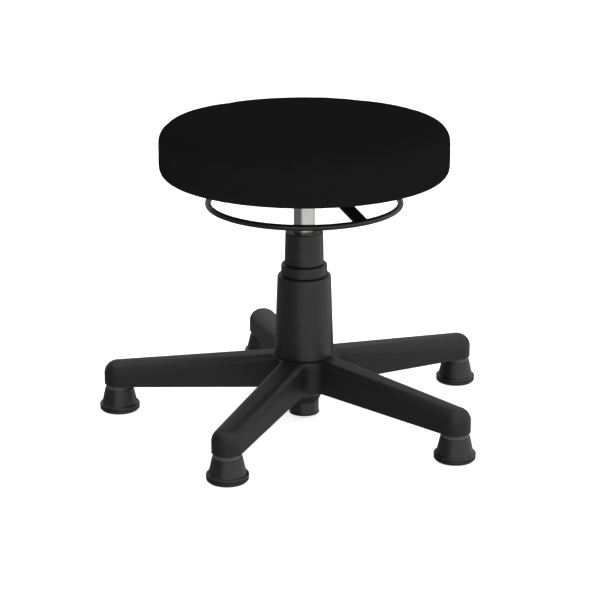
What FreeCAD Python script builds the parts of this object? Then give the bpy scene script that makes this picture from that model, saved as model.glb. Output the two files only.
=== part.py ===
import FreeCAD, Part
import math
import os

from FreeCAD import Vector

# A low round swivel stool: a padded seat on a gas lift, a hoop that releases the lift,
# stepped column covers and a ribbed five-star base on bell glides.
# Millimetres, +Z up. The origin is on the column axis at floor level, and +X runs along
# the arm of the release bar that lifts.

# Seat cushion
SEAT_RADIUS = 190.0
SEAT_UNDERSIDE = 334.8
SEAT_THICKNESS = 65.8
SEAT_CROWN = 6.0
SEAT_TOP_EDGE = 20.0
SEAT_BOTTOM_EDGE = 16.0
SKIN = 1.2
FABRIC_TURN_UNDER = 42.0
CLOTH_THICKNESS = 0.9
CLOTH_HOLE_RADIUS = 40.0
BOARD_THICKNESS = 15.0
BOARD_EDGE_INSET = 18.0
SOFT_CLEARANCE = 0.3

# Seat plate, its drawn cup and its fixings
PLATE_SIDE = 150.0
PLATE_CORNER = 14.0
PLATE_THICKNESS = 3.0
PLATE_HOLE_PITCH = 122.0
CUP_RADIUS = 36.0
CUP_WALL = 3.0
CUP_FLOOR_GAP = 2.0
CUP_EDGE = 2.5
SCREW_RADIUS = 3.0
SCREW_CLEARANCE = 0.3
SCREW_HEAD_RADIUS = 5.5
SCREW_HEAD_HEIGHT = 4.0
HEX_KEY_RADIUS = 2.3
HEX_KEY_DEPTH = 2.2
WASHER_THICKNESS = 1.4
WASHER_RADIUS = 6.0
TEE_BARREL_RADIUS = 4.2
TEE_FLANGE_RADIUS = 9.0
TEE_FLANGE_THICKNESS = 1.3

# Release ring, bar and pin
RING_RADIUS = 126.5
RING_ROD_RADIUS = 4.0
RING_DROP = 38.4
BAR_WIDTH = 20.0
BAR_THICKNESS = 3.0
BAR_SLOPE_DEG = 22.4
BAR_BEND_RADIUS = 5.0
BAR_PLAY = 0.3
BAR_SIDE_PLAY = 1.0
WINDOW_HEAD = 2.6
WINDOW_SPARE = 1.0
RING_TILT_DEG = 6.0
PIN_RADIUS = 4.0
PIN_DOME = 8.0
PIN_GAP = 0.2
PIN_LENGTH = 26.0
PIN_STAND = 5.9

# Gas lift
COLUMN_RADIUS = 14.0
COLUMN_WALL = 2.0
COLUMN_END_WALL = 3.5
COLUMN_TAPER_DROP = 0.6
SOCKET_LENGTH = 22.5
SOCKET_WALL = 4.6
SOCKET_SET_BACK = 1.3
TAPER_CLEARANCE = 0.03
VALVE_LENGTH = 34.0
GLAND_LENGTH = 18.0
TRAVEL_DOWN = 35.0
TRAVEL_UP = 45.0
TRAVEL_SPARE = 4.0
SLIDE_CLEARANCE = 0.05
PISTON_ROD_RADIUS = 5.0
PISTON_LENGTH = 12.0
PISTON_GROOVE = 1.2
ROD_TAIL_RADIUS = 4.0
CLIP_GROOVE_DEPTH = 0.8
CLIP_RADIUS = 9.0
CLIP_THICKNESS = 1.4
CLIP_WASHER_THICKNESS = 1.5
STACK_GAP = 0.2

# Standing tube of the lift and its bearing
TUBE_RADIUS = 25.0
TUBE_WALL = 1.75
TUBE_TOP = 196.0
TUBE_FOOT = 3.0
FOOT_RADIUS = 19.75
FOOT_HEIGHT = 18.4
FOOT_CONE_HEIGHT = 9.6
FOOT_LIP = 0.7
FOOT_FLOOR_RISE = 4.2
FOOT_FLOOR = 3.0
SEAT_TAPER_DROP = 1.0
BUSH_LENGTH = 85.0
BUSH_FLANGE = 2.2
BUSH_FLANGE_SET_BACK = 0.4
RACE_RADIUS = 15.0
RACE_THICKNESS = 2.0
BALL_RADIUS = 1.75
BALL_CIRCLE = 10.5
BALL_COUNT = 8
BALL_CLEARANCE = 0.02
CAGE_THICKNESS = 2.0
CAGE_CLEARANCE = 0.1
STOP_HEIGHT = 8.0
STOP_RADIUS = 13.0

# Column covers
UPPER_TOP = 256.8
UPPER_TOP_RADIUS = 25.1
UPPER_TAPER = 0.0245
UPPER_LENGTH = 140.0
UPPER_WALL = 1.5
UPPER_LID = 2.5
UPPER_EDGE = 1.2
LID_HOLE_CLEARANCE = 0.7
MIDDLE_TOP = 213.7
MIDDLE_RADIUS = 30.75
MIDDLE_TAPER = 0.006
MIDDLE_WALL = 1.8
MIDDLE_LIP_RADIUS = 26.8
MIDDLE_FLANGE = 2.2
MIDDLE_FLANGE_REACH = 2.4
LOWER_TOP = 198.4
LOWER_TOP_RADIUS = 35.65
LOWER_TAPER = 0.0369
LOWER_WALL = 2.2
LOWER_LIP_RADIUS = 31.25
RIM_THICKNESS = 3.6
RIM_EDGE = 3.2
FOOT_BEAD = 0.7
FOOT_BEAD_HEIGHT = 4.0

# Five-star base
LEG_COUNT = 5
FIRST_LEG_DEG = 14.3
GLIDE_CIRCLE = 252.5
LEG_ROOT_HALF_WIDTH = 17.7
LEG_TIP_HALF_WIDTH = 19.9
HUB_TOP = 87.6
LEG_TIP_TOP = 69.5
LEG_ROOT_BOTTOM = 43.0
LEG_TIP_BOTTOM = 37.6
LEG_ROOT_EDGE = 8.0
LEG_TIP_EDGE = 17.0
LEG_WALL = 4.0
LEG_BLEND = 17.0
RIB_THICKNESS = 3.0
RIB_RECESS = 5.0
RIB_COUNT = 4
HUB_CORE_RADIUS = 36.5
HUB_BOTTOM = 40.0
SPIGOT_HEIGHT = 7.4
SPIGOT_CLEARANCE = 0.15
SPIGOT_EDGE = 1.0
POCKET_OPEN_SIDE = 10.0

# Bell glides
SOLE_RADIUS = 24.6
SOLE_EDGE_RADIUS = 26.9
SOLE_HEIGHT = 4.8
SOLE_PLUG_HEIGHT = 3.0
FLANGE_RADIUS = 27.15
FLANGE_HEIGHT = 4.2
FLANGE_GROOVE = 0.6
BELL_FOOT_RADIUS = 24.0
BELL_TOP_RADIUS = 19.0
BELL_TOP = 32.0
BELL_EDGE = 2.2
BELL_WALL = 3.0
BELL_CROWN = 6.0
STEM_RADIUS = 5.5
STEM_LENGTH = 22.0
COLLAR_RADIUS = 7.3
COLLAR_GAP = 0.3
SHANK_RADIUS = 5.0
SHANK_HEAD_RADIUS = 8.0
SHANK_HEAD_HEIGHT = 2.0
SOCKET_CLEARANCE = 0.1
SOCKET_DEPTH = 24.5
GRIP_SET_BACK = 6.0
GRIP_HEIGHT = 4.0
GRIP_GROOVE = 0.9
GRIP_SPLIT = 2.0
FIT = 0.05

# Levels that follow from the sizes above, from the seat downwards
PLATE_UNDERSIDE = SEAT_UNDERSIDE - PLATE_THICKNESS
BOARD_UNDERSIDE = SEAT_UNDERSIDE + SKIN
WINDOW_TOP = PLATE_UNDERSIDE - WINDOW_HEAD
BAR_TOP = WINDOW_TOP - BAR_PLAY
BAR_UNDERSIDE = BAR_TOP - BAR_THICKNESS
PIN_TOP = BAR_UNDERSIDE - PIN_GAP
COLUMN_TOP = PIN_TOP - PIN_STAND
SOCKET_TOP = COLUMN_TOP - SOCKET_SET_BACK
SOCKET_BOTTOM = SOCKET_TOP - SOCKET_LENGTH
BAR_SWING = 2 * CUP_RADIUS * math.sin(math.radians(RING_TILT_DEG))
WINDOW_BOTTOM = BAR_UNDERSIDE - BAR_SWING - WINDOW_SPARE
CUP_FLOOR_TOP = WINDOW_BOTTOM - CUP_FLOOR_GAP
RING_LEVEL = SEAT_UNDERSIDE - RING_DROP

# Levels that follow from the sizes above, from the floor upwards
FOOT_FLOOR_TOP = TUBE_FOOT + FOOT_FLOOR_RISE + FOOT_FLOOR
CAGE_LEVEL = FOOT_FLOOR_TOP + RACE_THICKNESS + BALL_CLEARANCE + BALL_RADIUS
UPPER_RACE_BOTTOM = CAGE_LEVEL + BALL_RADIUS + BALL_CLEARANCE
STOP_BOTTOM = UPPER_RACE_BOTTOM + RACE_THICKNESS
COLUMN_BOTTOM = STOP_BOTTOM + STOP_HEIGHT + TRAVEL_DOWN + TRAVEL_SPARE
GLAND_TOP = COLUMN_BOTTOM + GLAND_LENGTH
PISTON_BOTTOM = GLAND_TOP + TRAVEL_UP + TRAVEL_SPARE
SPIGOT_TOP = HUB_TOP + SPIGOT_HEIGHT
FLANGE_BOTTOM = SOLE_HEIGHT + FLANGE_GROOVE
FLANGE_TOP = FLANGE_BOTTOM + FLANGE_HEIGHT
COLLAR_TOP = LEG_TIP_BOTTOM - COLLAR_GAP
SOCKET_RADIUS = STEM_RADIUS + SOCKET_CLEARANCE
GRIP_TOP = COLLAR_TOP + STEM_LENGTH - GRIP_SET_BACK
LOWER_FOOT = HUB_TOP + STACK_GAP
LOWER_FOOT_RADIUS = LOWER_TOP_RADIUS + LOWER_TAPER * (LOWER_TOP - LOWER_FOOT)
SPIGOT_RADIUS = LOWER_FOOT_RADIUS - LOWER_WALL - LOWER_TAPER * SPIGOT_HEIGHT - SPIGOT_CLEARANCE
LEG_ANGLES = [FIRST_LEG_DEG + 360.0 / LEG_COUNT * i for i in range(LEG_COUNT)]
HALF_LEG_ANGLE = math.radians(180.0 / LEG_COUNT)
BLEND_CENTRE = (LEG_ROOT_HALF_WIDTH + LEG_BLEND) / math.sin(HALF_LEG_ANGLE)
LEG_ROOT = (LEG_ROOT_HALF_WIDTH + LEG_BLEND) / math.tan(HALF_LEG_ANGLE)
Z_AXIS = Vector(0, 0, 1)
ORIGIN = Vector(0, 0, 0)

# How far a cutting form runs past the faces it cuts through
PAST = 1.0


def rounded_wire(corners, at):
    """Closed wire through flat corners (x, y) or (x, y, radius), placed in space by at(x, y)."""
    flat = [Vector(c[0], c[1], 0) for c in corners]
    radii = [c[2] if len(c) > 2 else 0.0 for c in corners]
    stretches = []
    for i, corner in enumerate(flat):
        back = (flat[i - 1] - corner).normalize()
        ahead = (flat[(i + 1) % len(flat)] - corner).normalize()
        half = back.getAngle(ahead) / 2
        if radii[i] <= 0:
            stretches.append((corner, None, corner))
            continue
        reach = radii[i] / math.tan(half)
        inward = (back + ahead).normalize()
        middle = corner + inward * (radii[i] / math.sin(half) - radii[i])
        stretches.append((corner + back * reach, middle, corner + ahead * reach))
    edges = []
    for i, (start, middle, end) in enumerate(stretches):
        before = stretches[i - 1][2]
        if before.distanceToPoint(start) > 1e-6:
            edges.append(Part.makeLine(at(before.x, before.y), at(start.x, start.y)))
        if middle:
            arc = Part.Arc(at(start.x, start.y), at(middle.x, middle.y), at(end.x, end.y))
            edges.append(arc.toShape())
    return Part.Wire(Part.__sortEdges__(edges))


def turned(corners, angle=360.0):
    """Solid turned about Z from a half-section given as (radius, height) corners."""
    face = Part.Face(rounded_wire(corners, lambda r, z: Vector(r, 0, z)))
    return face.revolve(ORIGIN, Z_AXIS, angle)


def ring_solid(inner, outer, bottom, top, edge=0.0):
    """Plain turned ring between two radii and two levels, with its outer edges rounded by edge."""
    return turned([(inner, bottom), (outer, bottom, edge), (outer, top, edge), (inner, top)])


def drum(radius, bottom, top):
    """Plain cylinder on the column axis."""
    return Part.makeCylinder(radius, top - bottom, Vector(0, 0, bottom))


def block(low, high):
    """Box between two opposite corners."""
    return Part.makeBox(high[0] - low[0], high[1] - low[1], high[2] - low[2], Vector(*low))


def placed(shape, distance, angle):
    """Copy moved out along +X by distance, then turned about the column axis by angle degrees."""
    copy = shape.copy()
    copy.translate(Vector(distance, 0, 0))
    copy.rotate(ORIGIN, Z_AXIS, angle)
    return copy


def sole_part(shape):
    """The one solid of a finished shape, with faces on the same surface joined."""
    return shape.removeSplitter().Solids[0]


# Seat cushion


def cushion_section(inset):
    """Half-section of the cushion drawn in by inset: crown, rounded edges and flat underside."""
    side = SEAT_RADIUS - inset
    shoulder = SEAT_UNDERSIDE + SEAT_THICKNESS - inset
    floor = SEAT_UNDERSIDE + inset
    crown = SEAT_UNDERSIDE + SEAT_THICKNESS + SEAT_CROWN - inset
    top_edge = SEAT_TOP_EDGE - inset
    bottom_edge = SEAT_BOTTOM_EDGE - inset
    rim = Vector(side - top_edge, 0, shoulder)
    sphere = (rim.x ** 2 + (crown - shoulder) ** 2) / (2 * (crown - shoulder))
    half_turn = math.asin(rim.x / sphere) / 2
    on_crown = Vector(sphere * math.sin(half_turn), 0, crown - sphere + sphere * math.cos(half_turn))
    corner = math.sqrt(0.5)
    knee = Vector(side - top_edge + top_edge * corner, 0, shoulder - top_edge + top_edge * corner)
    heel = Vector(side - bottom_edge + bottom_edge * corner, 0, floor + bottom_edge - bottom_edge * corner)
    side_top = Vector(side, 0, shoulder - top_edge)
    side_bottom = Vector(side, 0, floor + bottom_edge)
    edges = [
        Part.Arc(Vector(0, 0, crown), on_crown, rim).toShape(),
        Part.Arc(rim, knee, side_top).toShape(),
        Part.makeLine(side_top, side_bottom),
        Part.Arc(side_bottom, heel, Vector(side - bottom_edge, 0, floor)).toShape(),
        Part.makeLine(Vector(side - bottom_edge, 0, floor), Vector(0, 0, floor)),
        Part.makeLine(Vector(0, 0, floor), Vector(0, 0, crown)),
    ]
    return Part.Face(Part.Wire(edges))


def cushion(inset):
    """Whole cushion form drawn in by inset."""
    return cushion_section(inset).revolve(ORIGIN, Z_AXIS, 360)


def board_radius():
    """Outer radius of the seat board."""
    return SEAT_RADIUS - BOARD_EDGE_INSET


def seat_cover():
    """Fabric skin drawn over the cushion and turned under the board."""
    opening = drum(SEAT_RADIUS - FABRIC_TURN_UNDER, SEAT_UNDERSIDE - PAST, BOARD_UNDERSIDE + SKIN)
    return sole_part(cushion(0).cut(cushion(SKIN)).cut(opening))


def seat_foam():
    """Foam pad round the board, filling the skin."""
    board_top = BOARD_UNDERSIDE + BOARD_THICKNESS
    hollow = drum(board_radius() + SOFT_CLEARANCE, SEAT_UNDERSIDE, board_top + SOFT_CLEARANCE)
    return sole_part(cushion(SKIN + SOFT_CLEARANCE).cut(hollow))


def fixing_points():
    """The four places on the seat plate where a screw goes through."""
    half = PLATE_HOLE_PITCH / 2
    return [Vector(x, y, 0) for x in (-half, half) for y in (-half, half)]


def at_fixings(shape):
    """Copies of one fixing at each of the four places."""
    return [shape.translated(point) for point in fixing_points()]


def seat_board():
    """Plywood disc with a counterbored hole for each tee nut."""
    top = BOARD_UNDERSIDE + BOARD_THICKNESS
    board = drum(board_radius(), BOARD_UNDERSIDE, top)
    hole = drum(TEE_BARREL_RADIUS + FIT, BOARD_UNDERSIDE - PAST, top + PAST)
    seat = drum(TEE_FLANGE_RADIUS + FIT, top - TEE_FLANGE_THICKNESS, top + PAST)
    return sole_part(board.cut(at_fixings(hole.fuse(seat))))


def underside_cloth():
    """Thin cloth that closes the underside inside the turned-under fabric."""
    rim = SEAT_RADIUS - FABRIC_TURN_UNDER - SOFT_CLEARANCE
    cloth = ring_solid(CLOTH_HOLE_RADIUS, rim, BOARD_UNDERSIDE - CLOTH_THICKNESS, BOARD_UNDERSIDE)
    hole = drum(SCREW_RADIUS + SCREW_CLEARANCE, SEAT_UNDERSIDE - PAST, BOARD_UNDERSIDE + PAST)
    return sole_part(cloth.cut(at_fixings(hole)))


def tee_nuts():
    """Four tee nuts let into the top of the board."""
    top = BOARD_UNDERSIDE + BOARD_THICKNESS
    bore = SCREW_RADIUS + FIT
    nut = turned([
        (bore, BOARD_UNDERSIDE + SKIN),
        (TEE_BARREL_RADIUS, BOARD_UNDERSIDE + SKIN),
        (TEE_BARREL_RADIUS, top - TEE_FLANGE_THICKNESS),
        (TEE_FLANGE_RADIUS, top - TEE_FLANGE_THICKNESS),
        (TEE_FLANGE_RADIUS, top),
        (bore, top),
    ])
    return Part.makeCompound(at_fixings(nut))


def plate_screws():
    """Four socket-head screws up through the plate into the tee nuts."""
    seat = PLATE_UNDERSIDE - WASHER_THICKNESS
    end = BOARD_UNDERSIDE + BOARD_THICKNESS - TEE_FLANGE_THICKNESS
    head = turned([
        (0, seat - SCREW_HEAD_HEIGHT),
        (SCREW_HEAD_RADIUS, seat - SCREW_HEAD_HEIGHT, SCREW_HEAD_HEIGHT / 4),
        (SCREW_HEAD_RADIUS, seat),
        (SCREW_RADIUS, seat),
        (SCREW_RADIUS, end),
        (0, end),
    ])
    turns = [i * math.pi / 3 for i in range(7)]
    face_level = seat - SCREW_HEAD_HEIGHT
    hexagon = [
        Vector(HEX_KEY_RADIUS * math.cos(t), HEX_KEY_RADIUS * math.sin(t), face_level)
        for t in turns
    ]
    key = Part.Face(Part.makePolygon(hexagon)).extrude(Vector(0, 0, HEX_KEY_DEPTH))
    return Part.makeCompound(at_fixings(head.cut(key)))


def spring_washers():
    """Four split washers under the screw heads."""
    seat = PLATE_UNDERSIDE - WASHER_THICKNESS
    washer = ring_solid(SCREW_RADIUS + SCREW_CLEARANCE, WASHER_RADIUS, seat, PLATE_UNDERSIDE)
    half = WASHER_THICKNESS / 2
    split = block((0, -half, 0), (WASHER_RADIUS + PAST, half, SEAT_UNDERSIDE))
    return Part.makeCompound(at_fixings(washer.cut(split)))


# Seat plate and release


def seat_plate():
    """Pressed plate with a drawn cup whose two windows let the release bar through."""
    half = PLATE_SIDE / 2
    corners = [(-half, -half), (half, -half), (half, half), (-half, half)]
    rounded = [(x, y, PLATE_CORNER) for x, y in corners]
    outline = rounded_wire(rounded, lambda x, y: Vector(x, y, PLATE_UNDERSIDE))
    plate = Part.Face(outline).extrude(Vector(0, 0, PLATE_THICKNESS))
    plate = plate.cut(drum(CUP_RADIUS - CUP_WALL, PLATE_UNDERSIDE - PAST, SEAT_UNDERSIDE + PAST))
    floor = CUP_FLOOR_TOP - CUP_WALL
    cup = turned([
        (socket_outer_radius() + FIT, floor),
        (CUP_RADIUS, floor, CUP_EDGE),
        (CUP_RADIUS, PLATE_UNDERSIDE),
        (CUP_RADIUS, SEAT_UNDERSIDE),
        (CUP_RADIUS - CUP_WALL, SEAT_UNDERSIDE),
        (CUP_RADIUS - CUP_WALL, CUP_FLOOR_TOP),
        (socket_outer_radius() + FIT, CUP_FLOOR_TOP),
    ])
    half_window = BAR_WIDTH / 2 + BAR_SIDE_PLAY
    beyond = CUP_RADIUS + PAST
    windows = block((-beyond, -half_window, WINDOW_BOTTOM), (beyond, half_window, WINDOW_TOP))
    hole = drum(SCREW_RADIUS + SCREW_CLEARANCE, PLATE_UNDERSIDE - PAST, SEAT_UNDERSIDE + PAST)
    return sole_part(plate.fuse(cup).cut([windows] + at_fixings(hole)))


def column_taper_radius(level):
    """Radius of the column's upper taper at a level inside the socket."""
    return COLUMN_RADIUS - COLUMN_TAPER_DROP * (level - SOCKET_BOTTOM) / (COLUMN_TOP - SOCKET_BOTTOM)


def socket_outer_radius():
    """Outside of the taper socket."""
    return COLUMN_RADIUS + SOCKET_WALL


def seat_socket():
    """Taper socket that the column is driven into, standing in the floor of the cup."""
    edge = SOCKET_WALL / 3
    return turned([
        (column_taper_radius(SOCKET_BOTTOM) + TAPER_CLEARANCE, SOCKET_BOTTOM),
        (socket_outer_radius(), SOCKET_BOTTOM, edge),
        (socket_outer_radius(), SOCKET_TOP),
        (column_taper_radius(SOCKET_TOP) + TAPER_CLEARANCE, SOCKET_TOP),
    ])


def release_ring():
    """Hoop of round rod."""
    return Part.makeTorus(RING_RADIUS, RING_ROD_RADIUS, Vector(0, 0, RING_LEVEL))


def release_bar():
    """Flat bar through the cup, bent down at both ends and welded to the inside of the hoop."""
    middle = (BAR_TOP + BAR_UNDERSIDE) / 2
    slope = math.tan(math.radians(BAR_SLOPE_DEG))
    bend = RING_RADIUS - (middle - RING_LEVEL) / slope
    end_drop = BAR_THICKNESS / math.cos(math.radians(BAR_SLOPE_DEG)) / 2
    shift = BAR_THICKNESS / 2 * math.tan(math.radians(BAR_SLOPE_DEG) / 2)
    outline = [
        (-RING_RADIUS, RING_LEVEL + end_drop),
        (-bend - shift, BAR_TOP, BAR_BEND_RADIUS + BAR_THICKNESS),
        (bend + shift, BAR_TOP, BAR_BEND_RADIUS + BAR_THICKNESS),
        (RING_RADIUS, RING_LEVEL + end_drop),
        (RING_RADIUS, RING_LEVEL - end_drop),
        (bend - shift, BAR_UNDERSIDE, BAR_BEND_RADIUS),
        (-bend + shift, BAR_UNDERSIDE, BAR_BEND_RADIUS),
        (-RING_RADIUS, RING_LEVEL - end_drop),
    ]
    wire = rounded_wire(outline, lambda x, z: Vector(x, -BAR_WIDTH / 2, z))
    return sole_part(Part.Face(wire).extrude(Vector(0, BAR_WIDTH, 0)).cut(release_ring()))


def release_pin():
    """Domed pin on top of the lift that the bar presses down."""
    flank = PIN_TOP - PIN_DOME + math.sqrt(PIN_DOME ** 2 - PIN_RADIUS ** 2)
    shank = drum(PIN_RADIUS, PIN_TOP - PIN_LENGTH, PIN_TOP)
    dome = Part.makeSphere(PIN_DOME, Vector(0, 0, PIN_TOP - PIN_DOME))
    return sole_part(drum(PIN_RADIUS, PIN_TOP - PIN_LENGTH, flank).fuse(shank.common(dome)))


# Gas lift


def pin_bore():
    """Radius of the holes that guide the release pin."""
    return PIN_RADIUS + SLIDE_CLEARANCE


def column_bore():
    """Inside radius of the pressure tube."""
    return COLUMN_RADIUS - COLUMN_WALL


def pressure_tube():
    """Bright column: a tube closed at the top, with the taper that holds the seat."""
    return turned([
        (column_bore(), COLUMN_BOTTOM),
        (COLUMN_RADIUS, COLUMN_BOTTOM, COLUMN_WALL / 4),
        (COLUMN_RADIUS, SOCKET_BOTTOM),
        (column_taper_radius(COLUMN_TOP), COLUMN_TOP, COLUMN_WALL / 4),
        (pin_bore(), COLUMN_TOP),
        (pin_bore(), COLUMN_TOP - COLUMN_END_WALL),
        (column_bore(), COLUMN_TOP - COLUMN_END_WALL),
    ])


def valve_body():
    """Valve body under the closed end of the column, bored for the release pin."""
    top = COLUMN_TOP - COLUMN_END_WALL
    return turned([
        (0, top - VALVE_LENGTH),
        (column_bore() - FIT, top - VALVE_LENGTH),
        (column_bore() - FIT, top),
        (pin_bore(), top),
        (pin_bore(), top - VALVE_LENGTH + COLUMN_END_WALL),
        (0, top - VALVE_LENGTH + COLUMN_END_WALL),
    ])


def tube_gland():
    """Gland that guides and seals the piston rod in the foot of the column."""
    return ring_solid(PISTON_ROD_RADIUS + SLIDE_CLEARANCE, column_bore() - FIT, COLUMN_BOTTOM, GLAND_TOP)


def piston_rod():
    """Rod from the bearing in the standing tube up to the piston, with a clipped tail."""
    tail = TUBE_FOOT + STACK_GAP
    groove = ROD_TAIL_RADIUS - CLIP_GROOVE_DEPTH
    clip = clip_level()
    return turned([
        (0, tail),
        (ROD_TAIL_RADIUS, tail),
        (ROD_TAIL_RADIUS, clip),
        (groove, clip),
        (groove, clip + CLIP_THICKNESS),
        (ROD_TAIL_RADIUS, clip + CLIP_THICKNESS),
        (ROD_TAIL_RADIUS, STOP_BOTTOM),
        (PISTON_ROD_RADIUS, STOP_BOTTOM),
        (PISTON_ROD_RADIUS, PISTON_BOTTOM),
        (ROD_TAIL_RADIUS, PISTON_BOTTOM),
        (ROD_TAIL_RADIUS, PISTON_BOTTOM + PISTON_LENGTH),
        (0, PISTON_BOTTOM + PISTON_LENGTH),
    ])


def piston():
    """Piston on the end of the rod, with a groove for its seal."""
    outer = column_bore() - SLIDE_CLEARANCE
    third = PISTON_LENGTH / 3
    return turned([
        (ROD_TAIL_RADIUS, PISTON_BOTTOM),
        (outer, PISTON_BOTTOM),
        (outer, PISTON_BOTTOM + third),
        (outer - PISTON_GROOVE, PISTON_BOTTOM + third),
        (outer - PISTON_GROOVE, PISTON_BOTTOM + 2 * third),
        (outer, PISTON_BOTTOM + 2 * third),
        (outer, PISTON_BOTTOM + PISTON_LENGTH),
        (ROD_TAIL_RADIUS, PISTON_BOTTOM + PISTON_LENGTH),
    ])


def clip_level():
    """Underside of the retaining clip on the rod's tail."""
    return TUBE_FOOT + FOOT_FLOOR_RISE - CLIP_WASHER_THICKNESS - CLIP_THICKNESS - STACK_GAP


def retaining_clip():
    """Open clip in the groove of the rod's tail."""
    groove = ROD_TAIL_RADIUS - CLIP_GROOVE_DEPTH + FIT
    ring = ring_solid(groove, CLIP_RADIUS, clip_level() + FIT, clip_level() + CLIP_THICKNESS - FIT)
    mouth = block((0, -groove, 0), (CLIP_RADIUS + PAST, groove, FOOT_FLOOR_TOP))
    return sole_part(ring.cut(mouth))


def clip_washer():
    """Washer between the clip and the floor of the standing tube."""
    top = TUBE_FOOT + FOOT_FLOOR_RISE - STACK_GAP / 2
    return ring_solid(ROD_TAIL_RADIUS + SLIDE_CLEARANCE, CLIP_RADIUS, top - CLIP_WASHER_THICKNESS, top)


def seat_taper_radius(level):
    """Outside of the standing tube where it narrows into the hub."""
    foot_top = TUBE_FOOT + FOOT_HEIGHT + FOOT_CONE_HEIGHT
    return TUBE_RADIUS - SEAT_TAPER_DROP * (SPIGOT_TOP - level) / (SPIGOT_TOP - foot_top)


def outer_tube():
    """Standing tube of the lift: narrowed foot, tapered seat in the hub, open top."""
    foot_top = TUBE_FOOT + FOOT_HEIGHT
    cone_top = foot_top + FOOT_CONE_HEIGHT
    taper_bottom = seat_taper_radius(cone_top)
    bore = TUBE_RADIUS - TUBE_WALL
    floor = TUBE_FOOT + FOOT_FLOOR_RISE
    return turned([
        (FOOT_RADIUS - TUBE_WALL, TUBE_FOOT),
        (FOOT_RADIUS + FOOT_LIP, TUBE_FOOT, FOOT_LIP / 2),
        (FOOT_RADIUS + FOOT_LIP, TUBE_FOOT + TUBE_WALL),
        (FOOT_RADIUS, TUBE_FOOT + TUBE_WALL + FOOT_LIP),
        (FOOT_RADIUS, foot_top, TUBE_WALL),
        (taper_bottom, cone_top, TUBE_WALL),
        (TUBE_RADIUS, SPIGOT_TOP),
        (TUBE_RADIUS, TUBE_TOP, TUBE_WALL / 3),
        (bore, TUBE_TOP),
        (bore, SPIGOT_TOP),
        (taper_bottom - TUBE_WALL, cone_top + TUBE_WALL),
        (FOOT_RADIUS - TUBE_WALL, foot_top + TUBE_WALL),
        (FOOT_RADIUS - TUBE_WALL, FOOT_FLOOR_TOP),
        (ROD_TAIL_RADIUS + SLIDE_CLEARANCE, FOOT_FLOOR_TOP),
        (ROD_TAIL_RADIUS + SLIDE_CLEARANCE, floor),
        (FOOT_RADIUS - TUBE_WALL, floor),
    ])


def guide_bush():
    """Plastic bush that guides the column in the standing tube, flanged over its rim."""
    return turned([
        (COLUMN_RADIUS + SLIDE_CLEARANCE, TUBE_TOP - BUSH_LENGTH),
        (TUBE_RADIUS - TUBE_WALL - FIT, TUBE_TOP - BUSH_LENGTH),
        (TUBE_RADIUS - TUBE_WALL - FIT, TUBE_TOP),
        (TUBE_RADIUS - BUSH_FLANGE_SET_BACK, TUBE_TOP),
        (TUBE_RADIUS - BUSH_FLANGE_SET_BACK, TUBE_TOP + BUSH_FLANGE),
        (COLUMN_RADIUS + SLIDE_CLEARANCE, TUBE_TOP + BUSH_FLANGE),
    ])


def race(bottom):
    """One race washer of the thrust bearing."""
    bore = ROD_TAIL_RADIUS + SLIDE_CLEARANCE
    return ring_solid(bore, RACE_RADIUS, bottom, bottom + RACE_THICKNESS, RACE_THICKNESS / 4)


def ball_centres():
    """Centres of the bearing balls, evenly round their circle."""
    turns = [2 * math.pi * i / BALL_COUNT for i in range(BALL_COUNT)]
    return [Vector(BALL_CIRCLE * math.cos(t), BALL_CIRCLE * math.sin(t), CAGE_LEVEL) for t in turns]


def bearing_balls():
    """Balls of the thrust bearing."""
    return Part.makeCompound([Part.makeSphere(BALL_RADIUS, centre) for centre in ball_centres()])


def bearing_cage():
    """Flat cage with a pocket for each ball."""
    half = CAGE_THICKNESS / 2
    inner = ROD_TAIL_RADIUS + SLIDE_CLEARANCE + CAGE_CLEARANCE
    cage = ring_solid(inner, RACE_RADIUS - CAGE_CLEARANCE, CAGE_LEVEL - half, CAGE_LEVEL + half)
    pocket = drum(BALL_RADIUS + CAGE_CLEARANCE, -half - PAST, half + PAST)
    return sole_part(cage.cut([pocket.translated(centre) for centre in ball_centres()]))


def bump_stop():
    """Rubber ring that the column meets at the bottom of its travel."""
    bore = PISTON_ROD_RADIUS + SLIDE_CLEARANCE
    return ring_solid(bore, STOP_RADIUS, STOP_BOTTOM, STOP_BOTTOM + STOP_HEIGHT, STOP_HEIGHT / 4)


# Column covers


def upper_radius(level):
    """Outside of the upper cover at a level."""
    return UPPER_TOP_RADIUS + UPPER_TAPER * (UPPER_TOP - level)


def upper_cover():
    """Tapered sleeve wedged on the standing tube, closed round the column by its lid."""
    foot = UPPER_TOP - UPPER_LENGTH
    lid = UPPER_TOP - UPPER_LID
    return turned([
        (upper_radius(foot) - UPPER_WALL, foot),
        (upper_radius(foot), foot),
        (upper_radius(UPPER_TOP), UPPER_TOP, UPPER_EDGE),
        (COLUMN_RADIUS + LID_HOLE_CLEARANCE, UPPER_TOP),
        (COLUMN_RADIUS + LID_HOLE_CLEARANCE, lid),
        (upper_radius(lid) - UPPER_WALL, lid),
    ])


def middle_cover():
    """Loose sleeve with an inward rim, standing on the hub spigot by its foot flange."""
    foot = SPIGOT_TOP + STACK_GAP
    foot_radius = MIDDLE_RADIUS + MIDDLE_TAPER * (MIDDLE_TOP - foot)
    rim = MIDDLE_TOP - RIM_THICKNESS
    return turned([
        (foot_radius - MIDDLE_WALL, foot),
        (foot_radius + MIDDLE_FLANGE_REACH, foot),
        (foot_radius + MIDDLE_FLANGE_REACH, foot + MIDDLE_FLANGE),
        (foot_radius, foot + MIDDLE_FLANGE),
        (MIDDLE_RADIUS, MIDDLE_TOP, RIM_EDGE),
        (MIDDLE_LIP_RADIUS, MIDDLE_TOP),
        (MIDDLE_LIP_RADIUS, rim),
        (MIDDLE_RADIUS - MIDDLE_WALL, rim),
    ])


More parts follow.
